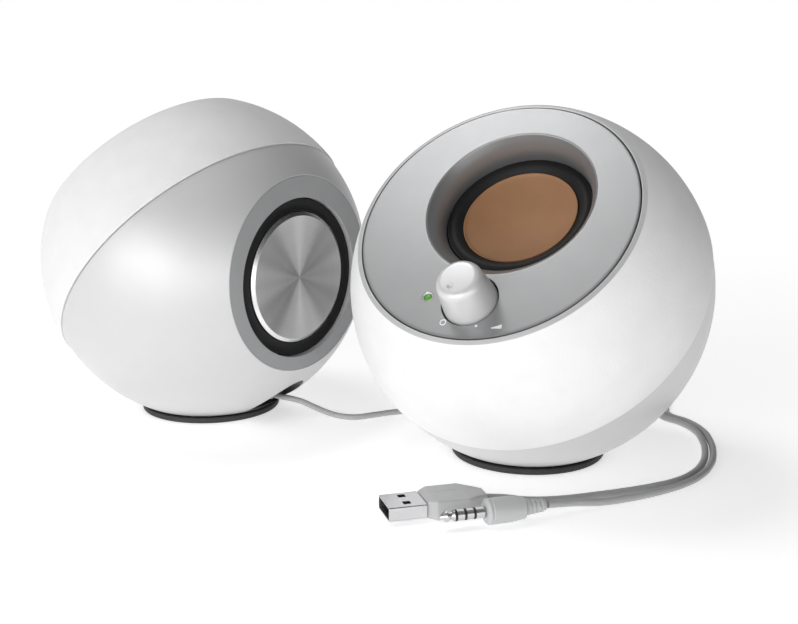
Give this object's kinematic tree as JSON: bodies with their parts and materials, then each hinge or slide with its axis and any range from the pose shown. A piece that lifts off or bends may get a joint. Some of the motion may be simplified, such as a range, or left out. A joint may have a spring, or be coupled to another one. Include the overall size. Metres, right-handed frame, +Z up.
{
  "type": "desktop speakers",
  "caption": "Pair of ball-shaped USB-powered desktop speakers with up-tilted drivers, a volume knob, rear passive radiators and three thin cords.",
  "frame": {"origin": "on the desk, at the middle of the bounding box of the two speakers, cords and plugs left out", "axes": "+X from the satellite speaker to the powered speaker, +Y away from the person at the desk, +Z up"},
  "size_m": [0.2474, 0.1908, 0.1192],
  "materials": {
    "front_shell": "fine-grained matte white moulding",
    "rear_shell": "smooth glossy white moulding",
    "baffle": "satin silver-grey",
    "dark_plastic": "dark grey moulded",
    "foot_rubber": "soft matte",
    "steel": "plain",
    "magnet": "pressed ferrite, bare",
    "cone": "satin copper lacquer",
    "surround_rubber": "matte half-roll",
    "copper": "enamelled copper winding",
    "spun_aluminium": "spun, concentric brushing with a bright bevel",
    "lamp_lens": "translucent green lens",
    "circuit_board": "solder mask",
    "heat_sink": "extruded, plain",
    "knob": "satin, very light grey",
    "plug_plastic": "satin, light grey",
    "plug_metal": "nickel-plated",
    "cord": "satin grey jacket"
  },
  "bodies": {
    "root": {"powered_front_shell": "front_shell", "powered_rear_shell": "rear_shell", "powered_baffle": "baffle", "powered_cord_recess": "dark_plastic", "powered_foot": "foot_rubber", "powered_base_screw_1": "steel", "powered_base_screw_2": "steel", "powered_base_screw_3": "steel", "powered_driver_frame": "dark_plastic", "powered_driver_magnet": "magnet", "powered_driver_pole": "steel", "powered_radiator_frame": "dark_plastic", "powered_gland_1": "dark_plastic", "powered_gland_2": "dark_plastic", "powered_gland_3": "dark_plastic", "power_lamp": "lamp_lens", "volume_control": "dark_plastic", "amplifier_board": "circuit_board", "amplifier_capacitor": "dark_plastic", "amplifier_heat_sink": "heat_sink", "satellite_front_shell": "front_shell", "satellite_rear_shell": "rear_shell", "satellite_baffle": "baffle", "satellite_cord_recess": "dark_plastic", "satellite_foot": "foot_rubber", "satellite_base_screw_1": "steel", "satellite_base_screw_2": "steel", "satellite_base_screw_3": "steel", "satellite_driver_frame": "dark_plastic", "satellite_driver_magnet": "magnet", "satellite_driver_pole": "steel", "satellite_radiator_frame": "dark_plastic", "satellite_gland": "dark_plastic", "link_cord_a": "cord", "link_cord_b": "cord", "link_coil": "cord", "usb_cord_a": "cord", "usb_cord_b": "cord", "usb_coil": "cord", "audio_cord_a": "cord", "audio_cord_b": "cord", "audio_coil": "cord", "usb_plug_body": "plug_plastic", "usb_plug_shell": "plug_metal", "usb_plug_tongue": "dark_plastic", "audio_plug_pin": "plug_metal", "audio_plug_body": "plug_plastic", "audio_plug_relief": "plug_plastic"},
    "powered_cone_unit": {"powered_cone": "cone", "powered_surround": "surround_rubber", "powered_voice_coil": "copper"},
    "powered_radiator_unit": {"powered_radiator_surround": "surround_rubber", "powered_radiator_disc": "spun_aluminium"},
    "satellite_cone_unit": {"satellite_cone": "cone", "satellite_surround": "surround_rubber", "satellite_voice_coil": "copper"},
    "satellite_radiator_unit": {"satellite_radiator_surround": "surround_rubber", "satellite_radiator_disc": "spun_aluminium"},
    "volume_knob_unit": {"volume_knob": "knob", "knob_shaft": "steel"}
  },
  "joints": [
    {"name": "volume_knob_turn", "type": "hinge", "parent": "root", "child": "volume_knob_unit", "pos_m": [0.03418, -0.07603, 0.06719], "axis": [0.3589, 0.6093, -0.7071], "range_deg": [0, 300]},
    {"name": "powered_cone_travel", "type": "slide", "parent": "root", "child": "powered_cone_unit", "axis": [-0.333, -0.5653, 0.7547], "range_m": [-0.001, 0.001], "stiffness_N_per_m": 600},
    {"name": "powered_radiator_travel", "type": "slide", "parent": "root", "child": "powered_radiator_unit", "axis": [0.5075, 0.8616, 0], "range_m": [-0.0018, 0.0018], "stiffness_N_per_m": 300},
    {"name": "satellite_cone_travel", "type": "slide", "parent": "root", "child": "satellite_cone_unit", "axis": [-0.5127, 0.4093, 0.7547], "range_m": [-0.001, 0.001], "stiffness_N_per_m": 600},
    {"name": "satellite_radiator_travel", "type": "slide", "parent": "root", "child": "satellite_radiator_unit", "axis": [0.7815, -0.6239, 0], "range_m": [-0.0018, 0.0018], "stiffness_N_per_m": 300}
  ]
}
